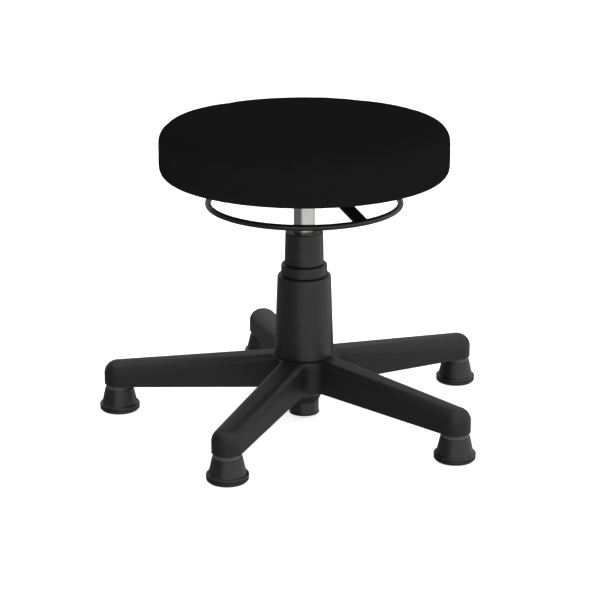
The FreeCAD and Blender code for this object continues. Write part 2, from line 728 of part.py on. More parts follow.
def lower_cover():
    """Tapered sleeve over the hub spigot, with a bead at its foot and an inward rim."""
    rim = LOWER_TOP - RIM_THICKNESS
    bead = LOWER_FOOT_RADIUS + FOOT_BEAD
    bead_top = LOWER_FOOT + FOOT_BEAD_HEIGHT
    return turned([
        (LOWER_FOOT_RADIUS - LOWER_WALL, LOWER_FOOT),
        (bead, LOWER_FOOT, FOOT_BEAD / 2),
        (bead, bead_top, FOOT_BEAD / 2),
        (LOWER_FOOT_RADIUS - LOWER_TAPER * FOOT_BEAD_HEIGHT, bead_top),
        (LOWER_TOP_RADIUS, LOWER_TOP, RIM_EDGE),
        (LOWER_LIP_RADIUS, LOWER_TOP),
        (LOWER_LIP_RADIUS, rim),
        (LOWER_TOP_RADIUS + LOWER_TAPER * RIM_THICKNESS - LOWER_WALL, rim),
    ])


# Five-star base


def leg_section(distance, half_width, top, bottom, edge):
    """Upright section across a leg at a distance from the column axis."""
    left = [(-half_width, bottom), (-half_width, top, edge)]
    right = [(half_width, top, edge), (half_width, bottom)]
    return rounded_wire(left + right, lambda y, z: Vector(distance, y, z))


def leg_form(inset, below):
    """One leg along +X: prism through the hub, loft to the tip and a domed nose about the glide."""
    root_edge = max(LEG_ROOT_EDGE - inset, LEG_WALL / 4)
    tip_edge = max(LEG_TIP_EDGE - inset, LEG_WALL / 4)
    root = (LEG_ROOT_HALF_WIDTH - inset, HUB_TOP - inset, LEG_ROOT_BOTTOM - below, root_edge)
    tip = (LEG_TIP_HALF_WIDTH - inset, LEG_TIP_TOP - inset, LEG_TIP_BOTTOM - below, tip_edge)
    sections = [leg_section(0, *root), leg_section(LEG_ROOT, *root), leg_section(GLIDE_CIRCLE, *tip)]
    beam = Part.makeLoft(sections, True, True)
    nose = turned([(0, tip[2]), (tip[0], tip[2]), (tip[0], tip[1], tip_edge), (0, tip[1])])
    nose.translate(Vector(GLIDE_CIRCLE, 0, 0))
    return beam.fuse(nose)


def leg_pocket():
    """Hollow under one leg, divided by a long rib and cross ribs, clear of the glide boss."""
    boss_radius = SOCKET_RADIUS + LEG_WALL
    boss = drum(boss_radius, 0, HUB_TOP)
    boss.translate(Vector(GLIDE_CIRCLE, 0, 0))
    rib_bottom = LEG_ROOT_BOTTOM + RIB_RECESS
    half = RIB_THICKNESS / 2
    solids = [drum(HUB_CORE_RADIUS, 0, HUB_TOP), boss]
    solids.append(block((0, -half, rib_bottom), (GLIDE_CIRCLE, half, HUB_TOP)))
    span = GLIDE_CIRCLE - boss_radius - HUB_CORE_RADIUS
    for i in range(1, RIB_COUNT + 1):
        at = HUB_CORE_RADIUS + span * i / (RIB_COUNT + 1)
        low = (at - half, -LEG_TIP_HALF_WIDTH, rib_bottom)
        high = (at + half, LEG_TIP_HALF_WIDTH, HUB_TOP)
        solids.append(block(low, high))
    return leg_form(LEG_WALL, POCKET_OPEN_SIDE).cut(solids)


def leg_blend():
    """Hollow-cornered filler between two legs, turned about the centre of its blend."""
    reach = BLEND_CENTRE - HUB_CORE_RADIUS / 2
    sweep = 180.0 - 360.0 / LEG_COUNT
    hollow_face = [(LEG_BLEND, HUB_TOP, LEG_ROOT_EDGE), (LEG_BLEND, LEG_ROOT_BOTTOM)]
    filler = turned(hollow_face + [(reach, LEG_ROOT_BOTTOM), (reach, HUB_TOP)], sweep)
    filler.rotate(ORIGIN, Z_AXIS, 180.0 - sweep / 2)
    return filler


def star_base():
    """Hub and five hollow legs in one moulding, with the lift's taper and the glide sockets."""
    leg = leg_form(0, 0)
    legs = [placed(leg, 0, angle) for angle in LEG_ANGLES]
    blends = [placed(leg_blend(), BLEND_CENTRE, angle + 180.0 / LEG_COUNT) for angle in LEG_ANGLES]
    core = drum(HUB_CORE_RADIUS, HUB_BOTTOM, HUB_TOP)
    spigot_wall = [(SPIGOT_RADIUS, HUB_TOP), (SPIGOT_RADIUS, SPIGOT_TOP, SPIGOT_EDGE)]
    spigot = turned([(0, HUB_TOP)] + spigot_wall + [(0, SPIGOT_TOP)])
    star = core.fuse(legs + blends + [spigot])
    pocket = leg_pocket()
    glide_socket = drum(SOCKET_RADIUS, LEG_TIP_BOTTOM - PAST, LEG_TIP_BOTTOM + SOCKET_DEPTH)
    low, high = HUB_BOTTOM - PAST, SPIGOT_TOP + PAST
    bore = turned([
        (0, low),
        (seat_taper_radius(low) + TAPER_CLEARANCE, low),
        (seat_taper_radius(high) + TAPER_CLEARANCE, high),
        (0, high),
    ])
    cuts = [placed(pocket, 0, angle) for angle in LEG_ANGLES]
    cuts += [placed(glide_socket, GLIDE_CIRCLE, angle) for angle in LEG_ANGLES]
    return sole_part(star.removeSplitter().cut(cuts + [bore]))


# Bell glides


def glide_sole():
    """Sole pad of a glide, with a plug that sits inside the bell."""
    plug_top = SOLE_HEIGHT + SOLE_PLUG_HEIGHT
    return turned([
        (0, 0),
        (SOLE_RADIUS, 0),
        (SOLE_EDGE_RADIUS, SOLE_HEIGHT / 2, SOLE_HEIGHT / 4),
        (SOLE_EDGE_RADIUS, SOLE_HEIGHT),
        (bell_inside(SOLE_HEIGHT) - FIT, SOLE_HEIGHT),
        (bell_inside(plug_top) - FIT, plug_top),
        (0, plug_top),
    ])


def bell_inside(level):
    """Inside radius of the bell at a level, narrowing from its foot to its roof."""
    share = (level - SOLE_HEIGHT) / (BELL_TOP - BELL_CROWN - SOLE_HEIGHT)
    return BELL_FOOT_RADIUS - BELL_WALL - share * (BELL_FOOT_RADIUS - BELL_TOP_RADIUS)


def glide_bell():
    """Hollow plastic bell with a stepped flange at its foot."""
    roof = BELL_TOP - BELL_CROWN
    return turned([
        (bell_inside(SOLE_HEIGHT), SOLE_HEIGHT),
        (FLANGE_RADIUS - FLANGE_GROOVE, SOLE_HEIGHT),
        (FLANGE_RADIUS - FLANGE_GROOVE, FLANGE_BOTTOM),
        (FLANGE_RADIUS, FLANGE_BOTTOM),
        (FLANGE_RADIUS, FLANGE_TOP, FLANGE_HEIGHT / 2),
        (BELL_FOOT_RADIUS, FLANGE_TOP, FLANGE_GROOVE),
        (BELL_TOP_RADIUS, BELL_TOP, BELL_EDGE),
        (SHANK_RADIUS + FIT, BELL_TOP),
        (SHANK_RADIUS + FIT, roof),
        (bell_inside(roof), roof),
    ])


def glide_stem():
    """Steel stem: riveted shank in the bell, collar under the leg and grooved spigot in its socket."""
    roof = BELL_TOP - BELL_CROWN
    groove = STEM_RADIUS - GRIP_GROOVE
    top = COLLAR_TOP + STEM_LENGTH
    return turned([
        (0, roof - SHANK_HEAD_HEIGHT),
        (SHANK_HEAD_RADIUS, roof - SHANK_HEAD_HEIGHT, SHANK_HEAD_HEIGHT / 2),
        (SHANK_HEAD_RADIUS, roof),
        (SHANK_RADIUS, roof),
        (SHANK_RADIUS, BELL_TOP),
        (COLLAR_RADIUS, BELL_TOP),
        (COLLAR_RADIUS, COLLAR_TOP),
        (STEM_RADIUS, COLLAR_TOP),
        (STEM_RADIUS, GRIP_TOP - GRIP_HEIGHT),
        (groove, GRIP_TOP - GRIP_HEIGHT),
        (groove, GRIP_TOP),
        (STEM_RADIUS, GRIP_TOP),
        (STEM_RADIUS, top, GRIP_GROOVE),
        (0, top),
    ])


def glide_grip():
    """Split spring ring that stays in the leg's socket and holds the stem by its groove."""
    inner = STEM_RADIUS - GRIP_GROOVE + SOCKET_CLEARANCE
    ring = ring_solid(inner, SOCKET_RADIUS - FIT, GRIP_TOP - GRIP_HEIGHT + FIT, GRIP_TOP - FIT)
    split = block((0, -GRIP_SPLIT / 2, 0), (STEM_RADIUS + PAST, GRIP_SPLIT / 2, HUB_TOP))
    return sole_part(ring.cut(split))


def all_nodes():
    """Every piece by its node name."""
    nodes = {
        "seat_cover": seat_cover(),
        "seat_foam": seat_foam(),
        "seat_board": seat_board(),
        "underside_cloth": underside_cloth(),
        "tee_nuts": tee_nuts(),
        "plate_screws": plate_screws(),
        "spring_washers": spring_washers(),
        "seat_plate": seat_plate(),
        "seat_socket": seat_socket(),
        "release_ring": release_ring(),
        "release_bar": release_bar(),
        "release_pin": release_pin(),
        "pressure_tube": pressure_tube(),
        "valve_body": valve_body(),
        "tube_gland": tube_gland(),
        "piston_rod": piston_rod(),
        "piston": piston(),
        "retaining_clip": retaining_clip(),
        "clip_washer": clip_washer(),
        "outer_tube": outer_tube(),
        "guide_bush": guide_bush(),
        "bearing_lower_race": race(FOOT_FLOOR_TOP),
        "bearing_cage": bearing_cage(),
        "bearing_balls": bearing_balls(),
        "bearing_upper_race": race(UPPER_RACE_BOTTOM),
        "bump_stop": bump_stop(),
        "upper_cover": upper_cover(),
        "middle_cover": middle_cover(),
        "lower_cover": lower_cover(),
        "star_base": star_base(),
    }
    glide = {
        "glide_sole": glide_sole(),
        "glide_bell": glide_bell(),
        "glide_stem": glide_stem(),
        "glide_grip": glide_grip(),
    }
    for number, angle in enumerate(LEG_ANGLES, start=1):
        for name, shape in glide.items():
            nodes[f"{name}_{number}"] = placed(shape, GLIDE_CIRCLE, angle)
    return nodes


def main():
    """Build every piece and write one file for each."""
    os.makedirs("parts", exist_ok=True)
    for name, shape in all_nodes().items():
        shape.exportStep(f"parts/{name}.step")
        solids = len(shape.Solids)
        print(f"{name}: {solids} solid(s), {shape.Volume:.0f} mm3, valid {shape.isValid()}")


main()
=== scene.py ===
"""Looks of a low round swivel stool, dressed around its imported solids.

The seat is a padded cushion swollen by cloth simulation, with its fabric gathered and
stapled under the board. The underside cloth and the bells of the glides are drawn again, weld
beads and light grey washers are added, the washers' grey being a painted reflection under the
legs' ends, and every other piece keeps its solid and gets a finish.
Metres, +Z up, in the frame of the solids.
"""

import logging
import math
from dataclasses import dataclass
from enum import Enum
from typing import Any, Sequence

import bpy
import numpy as np
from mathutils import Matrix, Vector


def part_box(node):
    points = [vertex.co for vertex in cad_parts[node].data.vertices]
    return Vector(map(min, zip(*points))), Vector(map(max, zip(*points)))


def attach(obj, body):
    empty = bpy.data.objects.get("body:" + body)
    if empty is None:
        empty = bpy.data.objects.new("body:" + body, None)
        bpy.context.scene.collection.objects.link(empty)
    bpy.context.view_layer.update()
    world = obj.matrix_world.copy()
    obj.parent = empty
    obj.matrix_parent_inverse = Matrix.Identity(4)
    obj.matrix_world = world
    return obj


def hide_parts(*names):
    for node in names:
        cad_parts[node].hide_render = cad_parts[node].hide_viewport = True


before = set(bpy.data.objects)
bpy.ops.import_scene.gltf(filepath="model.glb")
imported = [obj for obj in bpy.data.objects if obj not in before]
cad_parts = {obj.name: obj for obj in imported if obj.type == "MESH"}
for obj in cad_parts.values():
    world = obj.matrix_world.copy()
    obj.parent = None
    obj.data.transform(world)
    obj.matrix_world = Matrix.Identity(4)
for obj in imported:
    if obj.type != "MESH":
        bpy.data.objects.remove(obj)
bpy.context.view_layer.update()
MM = 0.001
CLOTH_MAP = "cloth"
SHADER = "Principled BSDF"
MIX_SHARE = 0
MIX_NUMBERS = (2, 3)
MIX_COLOURS = (6, 7)
MIX_COLOUR_OUT = 2
TINY = 1e-9
LOG = logging.getLogger("stool")

Array = np.ndarray
Colour = tuple[float, float, float, float]
Corner = tuple[float, float, float]
Node = bpy.types.Node
Socket = bpy.types.NodeSocket
Tree = bpy.types.NodeTree


class Body(str, Enum):
    """Moving bodies of the stool that new pieces ride on."""

    LIFT = "lift"
    RELEASE = "release"
    GLIDE_1 = "glide_1"
    GLIDE_2 = "glide_2"
    GLIDE_3 = "glide_3"
    GLIDE_4 = "glide_4"
    GLIDE_5 = "glide_5"


class Slot(str, Enum):
    """Material slots of the record."""

    FABRIC = "seat_fabric"
    PLYWOOD = "plywood"
    UNDERSIDE = "underside_cloth"
    BLACK_STEEL = "black_steel"
    COLUMN = "column_steel"
    ZINC = "zinc_steel"
    BRASS = "brass"
    BUSH = "bush_plastic"
    RUBBER = "rubber"
    COVER = "cover_plastic"
    BASE = "base_nylon"
    GLIDE = "glide_nylon"


def linear(code: str) -> Colour:
    """Turn an sRGB hex colour into a linear one, with the constants of the sRGB standard.

    Args:
        code: Six hex digits after a hash sign.

    Returns:
        Linear red, green, blue and an alpha of one.
    """
    shares = np.array([int(code[i:i + 2], 16) for i in (1, 3, 5)]) / 255.0
    low = shares / 12.92
    high = ((shares + 0.055) / 1.055) ** 2.4
    return (*np.where(shares <= 0.04045, low, high).tolist(), 1.0)


def add(tree: Tree, kind: str, feeds: dict[str | int, Any], **settings: Any) -> Node:
    """Add one shader node, set it and feed its inputs.

    Args:
        tree: Node tree that takes the node.
        kind: Type of the node, without its common prefix.
        feeds: Input socket, by name or place, to a value or to another node's output.
        settings: Properties of the node.

    Returns:
        The new node.
    """
    node = tree.nodes.new("ShaderNode" + kind)
    for name, value in settings.items():
        setattr(node, name, value)
    for socket, value in feeds.items():
        if isinstance(value, Socket):
            tree.links.new(value, node.inputs[socket])
        else:
            node.inputs[socket].default_value = value
    return node


@dataclass(frozen=True)
class Finish:
    """What every finish has: a material name, a base colour and the shader's constants."""

    name: str
    colour: str
    roughness: float
    metallic: float = 0.0
    specular: float = 0.5
    ior: float = 1.5

    def material(self) -> bpy.types.Material:
        """Make the material.

        Returns:
            The material, with this finish's pattern on its shader.
        """
        material = bpy.data.materials.new(self.name)
        material.use_nodes = True
        tree = material.node_tree
        shader = tree.nodes[SHADER]
        shader.inputs["Base Color"].default_value = linear(self.colour)
        shader.inputs["Roughness"].default_value = self.roughness
        shader.inputs["Metallic"].default_value = self.metallic
        shader.inputs["Specular IOR Level"].default_value = self.specular
        shader.inputs["IOR"].default_value = self.ior
        self.pattern(tree, shader)
        return material

    def pattern(self, tree: Tree, shader: Node) -> None:
        """Lay the surface's own pattern on the shader.

        Args:
            tree: Node tree of the material.
            shader: Its principled shader.
        """
        raise NotImplementedError

    def place(self, tree: Tree) -> Socket:
        """Place on the piece, in metres."""
        return add(tree, "TexCoord", {}).outputs["Object"]

    def counted(self, tree: Tree, place: Socket, steps: Sequence[float]) -> Socket:
        """Place counted in steps of three lengths, along X, Y and Z."""
        scale = [1 / step for step in steps]
        return add(tree, "Mapping", {"Vector": place, "Scale": scale}).outputs["Vector"]

    def noise(self, tree: Tree, place: Socket, size: float, octaves: float) -> Socket:
        """Cloudy noise from 0 to 1, with spots of a size and finer octaves over them."""
        feeds = {"Vector": place, "Scale": 1 / size, "Detail": octaves}
        return add(tree, "TexNoise", feeds).outputs["Fac"]

    def product(self, tree: Tree, first: Socket, second: Any) -> Socket:
        """Product of a pattern and another pattern or a number."""
        return add(tree, "Math", {0: first, 1: second}, operation="MULTIPLY").outputs[0]

    def spread(self, tree: Tree, share: Socket, low: float, high: float) -> Socket:
        """Map a pattern's 0 to 1 onto another range."""
        return add(tree, "MapRange", {"Value": share, "To Min": low, "To Max": high}).outputs["Result"]

    def gloss(self, tree: Tree, shader: Node, share: Socket, swing: float) -> None:
        """Let a pattern swing the roughness either way."""
        rough = self.spread(tree, share, self.roughness - swing, self.roughness + swing)
        tree.links.new(rough, shader.inputs["Roughness"])

    def tint(self, tree: Tree, shader: Node, share: Socket, light: str) -> None:
        """Mix this finish's colour with a lighter one by a pattern.

        Args:
            tree: Node tree of the material.
            shader: Its principled shader.
            share: The pattern.
            light: The lighter colour.
        """
        dark_in, light_in = MIX_COLOURS
        feeds = {MIX_SHARE: share, dark_in: linear(self.colour), light_in: linear(light)}
        mix = add(tree, "Mix", feeds, data_type="RGBA")
        tree.links.new(mix.outputs[MIX_COLOUR_OUT], shader.inputs["Base Color"])

    def relief(self, tree: Tree, shader: Node, height: Socket, depth: float) -> None:
        """Give the shader a bump of a depth in metres from a pattern's height."""
        bump = add(tree, "Bump", {"Height": height, "Distance": depth, "Strength": 1.0})
        tree.links.new(bump.outputs["Normal"], shader.inputs["Normal"])


@dataclass(frozen=True)
class WovenPolyester(Finish):
    """Woven polyester upholstery, dyed black: a dull plain weave of uneven threads.

    The real thread spacing of about 0.9 mm is too fine to show, so it is drawn coarser.
    """

    light: str = "#1c1c1c"
    thread: float = 1.8 * MM
    ridge: float = 0.5
    slub: float = 9.0 * MM
    slub_octaves: float = 4.0
    thin: float = 0.7
    depth: float = 0.22 * MM

    def pattern(self, tree: Tree, shader: Node) -> None:
        """Weave: ridges across and along, swapped in alternate squares, with uneven threads.

        Args:
            tree: Node tree of the material.
            shader: Its principled shader.
        """
        cloth = add(tree, "UVMap", {}, uv_map=CLOTH_MAP).outputs["UV"]
        grid = self.counted(tree, cloth, [self.thread] * 3)
        across = add(tree, "SeparateXYZ", {"Vector": grid}).outputs
        warp = add(tree, "Math", {0: across["X"], 1: self.ridge}, operation="PINGPONG").outputs[0]
        weft = add(tree, "Math", {0: across["Y"], 1: self.ridge}, operation="PINGPONG").outputs[0]
        over = add(tree, "TexChecker", {"Vector": grid, "Scale": 1.0}).outputs["Fac"]
        warp_in, weft_in = MIX_NUMBERS
        upper = add(tree, "Mix", {MIX_SHARE: over, warp_in: warp, weft_in: weft}).outputs[0]
        height = self.product(tree, upper, 1 / self.ridge)
        slub = self.spread(tree, self.noise(tree, cloth, self.slub, self.slub_octaves), self.thin, 1.0)
        self.tint(tree, shader, self.product(tree, height, slub), self.light)
        self.relief(tree, shader, height, self.depth)


@dataclass(frozen=True)
class Spunbond(Finish):
    """Spunbond polypropylene dust cloth: matt black felted fibre, pressed with rows of small dots."""

    light: str = "#2b2b2c"
    dot: float = 2.4 * MM
    fibre: float = 0.9 * MM
    fibre_octaves: float = 5.0
    depth: float = 0.15 * MM

    def pattern(self, tree: Tree, shader: Node) -> None:
        """Rows of pressed dots over a tangle of fibres.

        Args:
            tree: Node tree of the material.
            shader: Its principled shader.
        """
        place = self.place(tree)
        dots = add(tree, "TexVoronoi", {"Vector": place, "Scale": 1 / self.dot, "Randomness": 0.0})
        fibres = self.noise(tree, place, self.fibre, self.fibre_octaves)
        felt = self.product(tree, dots.outputs["Distance"], fibres)
        self.tint(tree, shader, felt, self.light)
        self.relief(tree, shader, felt, self.depth)


@dataclass(frozen=True)
class PowderCoat(Finish):
    """Black satin powder coat on steel: an even soft gloss with a fine orange-peel surface."""

    light: str = "#131314"
    peel: float = 1.6 * MM
    peel_octaves: float = 2.0
    depth: float = 0.012 * MM
    satin: float = 0.08

    def pattern(self, tree: Tree, shader: Node) -> None:
        """Soft orange peel that also varies the gloss a little.

        Args:
            tree: Node tree of the material.
            shader: Its principled shader.
        """
        peel = self.noise(tree, self.place(tree), self.peel, self.peel_octaves)
        self.gloss(tree, shader, peel, self.satin)
        self.tint(tree, shader, peel, self.light)
        self.relief(tree, shader, peel, self.depth)


@dataclass(frozen=True)
class GroundSteel(Finish):
    """Centreless-ground steel: bright, with fine rings of grinding lines round the axis.

    The real lines of about 0.1 mm are too fine to show, so they are drawn coarser.
    """

    light: str = "#dedbd5"
    line: float = 0.7 * MM
    run: float = 60.0 * MM
    line_octaves: float = 3.0
    depth: float = 0.004 * MM
    scatter: float = 0.07

    def pattern(self, tree: Tree, shader: Node) -> None:
        """Noise drawn out round the column and packed close along its height.

        Args:
            tree: Node tree of the material.
            shader: Its principled shader.
        """
        drawn = self.counted(tree, self.place(tree), (self.run, self.run, self.line))
        lines = self.noise(tree, drawn, 1.0, self.line_octaves)
        self.gloss(tree, shader, lines, self.scatter)
        self.tint(tree, shader, lines, self.light)
        self.relief(tree, shader, lines, self.depth)


@dataclass(frozen=True)
class PlatedMetal(Finish):
    """Barrel-plated or turned metal: a cloudy bright skin with small dulled patches."""

    light: str = "#cfd3d6"
    cloud: float = 5.0 * MM
    cloud_octaves: float = 5.0
    depth: float = 0.006 * MM
    dulled: float = 0.12

    def pattern(self, tree: Tree, shader: Node) -> None:
        """Cloudy patches in colour and gloss.

        Args:
            tree: Node tree of the material.
            shader: Its principled shader.
        """
        cloud = self.noise(tree, self.place(tree), self.cloud, self.cloud_octaves)
        self.gloss(tree, shader, cloud, self.dulled)
        self.tint(tree, shader, cloud, self.light)
        self.relief(tree, shader, cloud, self.depth)


@dataclass(frozen=True)
class MouldedPlastic(Finish):
    """Injection-moulded plastic: an eroded tool leaves a fine pebble grain that spreads the gloss.

    The real grain of about 0.3 mm is too fine to show, so it is drawn coarser.
    """

    light: str = "#2a2a2b"
    grain: float = 1.1 * MM
    grain_octaves: float = 3.0
    mottle: float = 14.0 * MM
    mottle_octaves: float = 2.0
    depth: float = 0.03 * MM
    scatter: float = 0.06

    def pattern(self, tree: Tree, shader: Node) -> None:
        """Pebble grain in relief and gloss, over a slow mottle of the colour.

        Args:
            tree: Node tree of the material.
            shader: Its principled shader.
        """
        place = self.place(tree)
        grain = self.noise(tree, place, self.grain, self.grain_octaves)
        mottle = self.noise(tree, place, self.mottle, self.mottle_octaves)
        self.gloss(tree, shader, grain, self.scatter)
        self.tint(tree, shader, self.product(tree, grain, mottle), self.light)
        self.relief(tree, shader, grain, self.depth)


@dataclass(frozen=True)
class BirchPlywood(Finish):
    """Birch plywood: pale veneers with a long grain, striped on the edge."""

    light: str = "#d9bb8b"
    veneer: float = 1.4 * MM
    grain: float = 2.5 * MM
    grain_run: float = 60.0 * MM
    grain_octaves: float = 4.0
    depth: float = 0.02 * MM

    def pattern(self, tree: Tree, shader: Node) -> None:
        """Long grain along X, striped through the thickness by the veneers.

        Args:
            tree: Node tree of the material.
            shader: Its principled shader.
        """
        drawn = self.counted(tree, self.place(tree), (self.grain_run, self.grain, self.veneer))
        grain = self.noise(tree, drawn, 1.0, self.grain_octaves)
        self.tint(tree, shader, grain, self.light)
        self.relief(tree, shader, grain, self.depth)


FINISHES: dict[Slot, Finish] = {
    Slot.FABRIC: WovenPolyester("woven_polyester_black", "#121212", 0.95, specular=0.0, ior=1.57),
    Slot.PLYWOOD: BirchPlywood("birch_plywood", "#a9814e", 0.6),
    Slot.UNDERSIDE: Spunbond("spunbond_polypropylene_black", "#101011", 0.95, specular=0.2, ior=1.49),
    Slot.BLACK_STEEL: PowderCoat("powder_coated_steel_black", "#0c0c0d", 0.36, ior=1.55),
    Slot.COLUMN: GroundSteel("ground_steel", "#bdbab4", 0.26, metallic=1.0),
    Slot.ZINC: PlatedMetal("zinc_plated_steel", "#a9adb0", 0.34, metallic=1.0),
    Slot.BRASS: PlatedMetal("turned_brass", "#b08d4c", 0.3, metallic=1.0, light="#c9a866"),
    Slot.BUSH: MouldedPlastic("natural_acetal", "#c9c8c3", 0.4, light="#dddcd8", ior=1.48),
    Slot.RUBBER: MouldedPlastic("nitrile_rubber_black", "#121212", 0.75, light="#1c1c1c", ior=1.52),
    Slot.COVER: MouldedPlastic("moulded_polypropylene_black", "#131314", 0.4, light="#1f1f21", ior=1.49),
    Slot.BASE: MouldedPlastic("glass_filled_nylon_black", "#0d0d0e", 0.55, light="#18181a", ior=1.53,
                              specular=0.42),
    Slot.GLIDE: MouldedPlastic("moulded_nylon_black", "#131314", 0.36, light="#1d1d1e", ior=1.53,
                               grain=0.8 * MM),
}
# Painted reflection: light grey nylon that stands in for the bright room reflected by the glossy bell tops
# under the legs' ends.
WASHER_PAINTED_REFLECTION_FINISH = MouldedPlastic("moulded_nylon_grey_painted_reflection", "#464646", 0.4, light="#575757", ior=1.53,
                               grain=0.8 * MM)


class Workshop:
    """Makes each material once and puts it on solids and on new pieces."""

    def __init__(self) -> None:
        """Start with no material made."""
        self.made: dict[Finish, bpy.types.Material] = {}

    def coat(self, finish: Finish) -> bpy.types.Material:
        """Make a finish's material when it is first asked for.

        Args:
            finish: The finish.

        Returns:
            Its material.
        """
        if finish not in self.made:
            self.made[finish] = finish.material()
        return self.made[finish]

    def dress(self, names: Sequence[str]) -> None:
        """Give solids the finish of the slot that each was packed with.

        Args:
            names: Nodes of one sub-assembly.
        """
        for name in names:
            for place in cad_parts[name].material_slots:
                slot = Slot(place.material.name.split(".")[0])
                place.material = self.coat(FINISHES[slot])
            LOG.info("dressed %s", name)

    def hang(self, piece: bpy.types.Object, slot: Slot, body: Body,
             finish: Finish | None = None) -> None:
        """Give a new piece its finish and its body.

        Args:
            piece: The new piece, in its place.
            slot: Material slot it takes its finish from.
            body: Body that it rides on.
            finish: A finish of its own, where it differs from the slot's.
        """
        piece.data.materials.append(self.coat(finish or FINISHES[slot]))
        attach(piece, body.value)
        LOG.info("made %s with %d faces", piece.name, len(piece.data.polygons))


def new_piece(name: str, points: Array, faces: Sequence[Sequence[int]],
              smooth: bool = True) -> bpy.types.Object:
    """Put a worked-out surface into the scene.

    Args:
        name: Name of the piece.
        points: Corner points, one row each, in metres.
        faces: Corner numbers of each face, turning outwards.
        smooth: Whether its faces are shaded as one smooth surface.

    Returns:
        The new object, at the origin.
    """
    mesh = bpy.data.meshes.new(name)
    mesh.from_pydata(points.tolist(), [], faces)
    mesh.polygons.foreach_set("use_smooth", np.full(len(mesh.polygons), smooth))
    mesh.update()
    piece = bpy.data.objects.new(name, mesh)
    bpy.context.scene.collection.objects.link(piece)
    return piece


def strip_faces(first: Array, second: Array) -> list[list[int]]:
    """Quads between two closed loops of the same length.

    Args:
        first: Corner numbers of one loop, in order.
        second: Corner numbers of the next loop, in the same order.

    Returns:
        One quad for each step round the loops.
    """
    return np.stack([first, np.roll(first, -1), np.roll(second, -1), second], axis=1).tolist()


def sweep(paths: Array, radii: Array, sides: int, up: Array) -> tuple[Array, list[list[int]]]:
    """Carry a round section along several paths at once, with flat ends.

    At each point of a path the section is radius * (cos a * side + sin a * top), where side is
    the path's direction crossed with up, and top is side crossed with the direction.

    Args:
        paths: Points of each path, shaped (path, point, 3).
        radii: Radius at each point of a path, in metres.
        sides: Corners of the section.
        up: A direction for each path that it never runs along, shaped (path, 3).

    Returns:
        The corner points of all the tubes and their faces.
    """
    count, length = paths.shape[:2]
    ahead = np.gradient(paths, axis=1)
    ahead /= np.linalg.norm(ahead, axis=2, keepdims=True)
    side = np.cross(ahead, up[:, None, :])
    side /= np.linalg.norm(side, axis=2, keepdims=True)
    top = np.cross(side, ahead)
    turn = 2 * np.pi * np.arange(sides) / sides
    ring = np.cos(turn)[:, None] * side[:, :, None, :] + np.sin(turn)[:, None] * top[:, :, None, :]
    points = paths[:, :, None, :] + radii[None, :, None, None] * ring
    number = np.arange(count * length * sides).reshape(count, length, sides)
    near, far = number[:, :-1, :], number[:, 1:, :]
    quads = np.stack([near, far, np.roll(far, -1, axis=2), np.roll(near, -1, axis=2)], axis=-1)
    faces = quads.reshape(-1, 4).tolist()
    faces += number[:, 0, :].tolist()
    faces += number[:, -1, ::-1].tolist()
    return points.reshape(-1, 3), faces


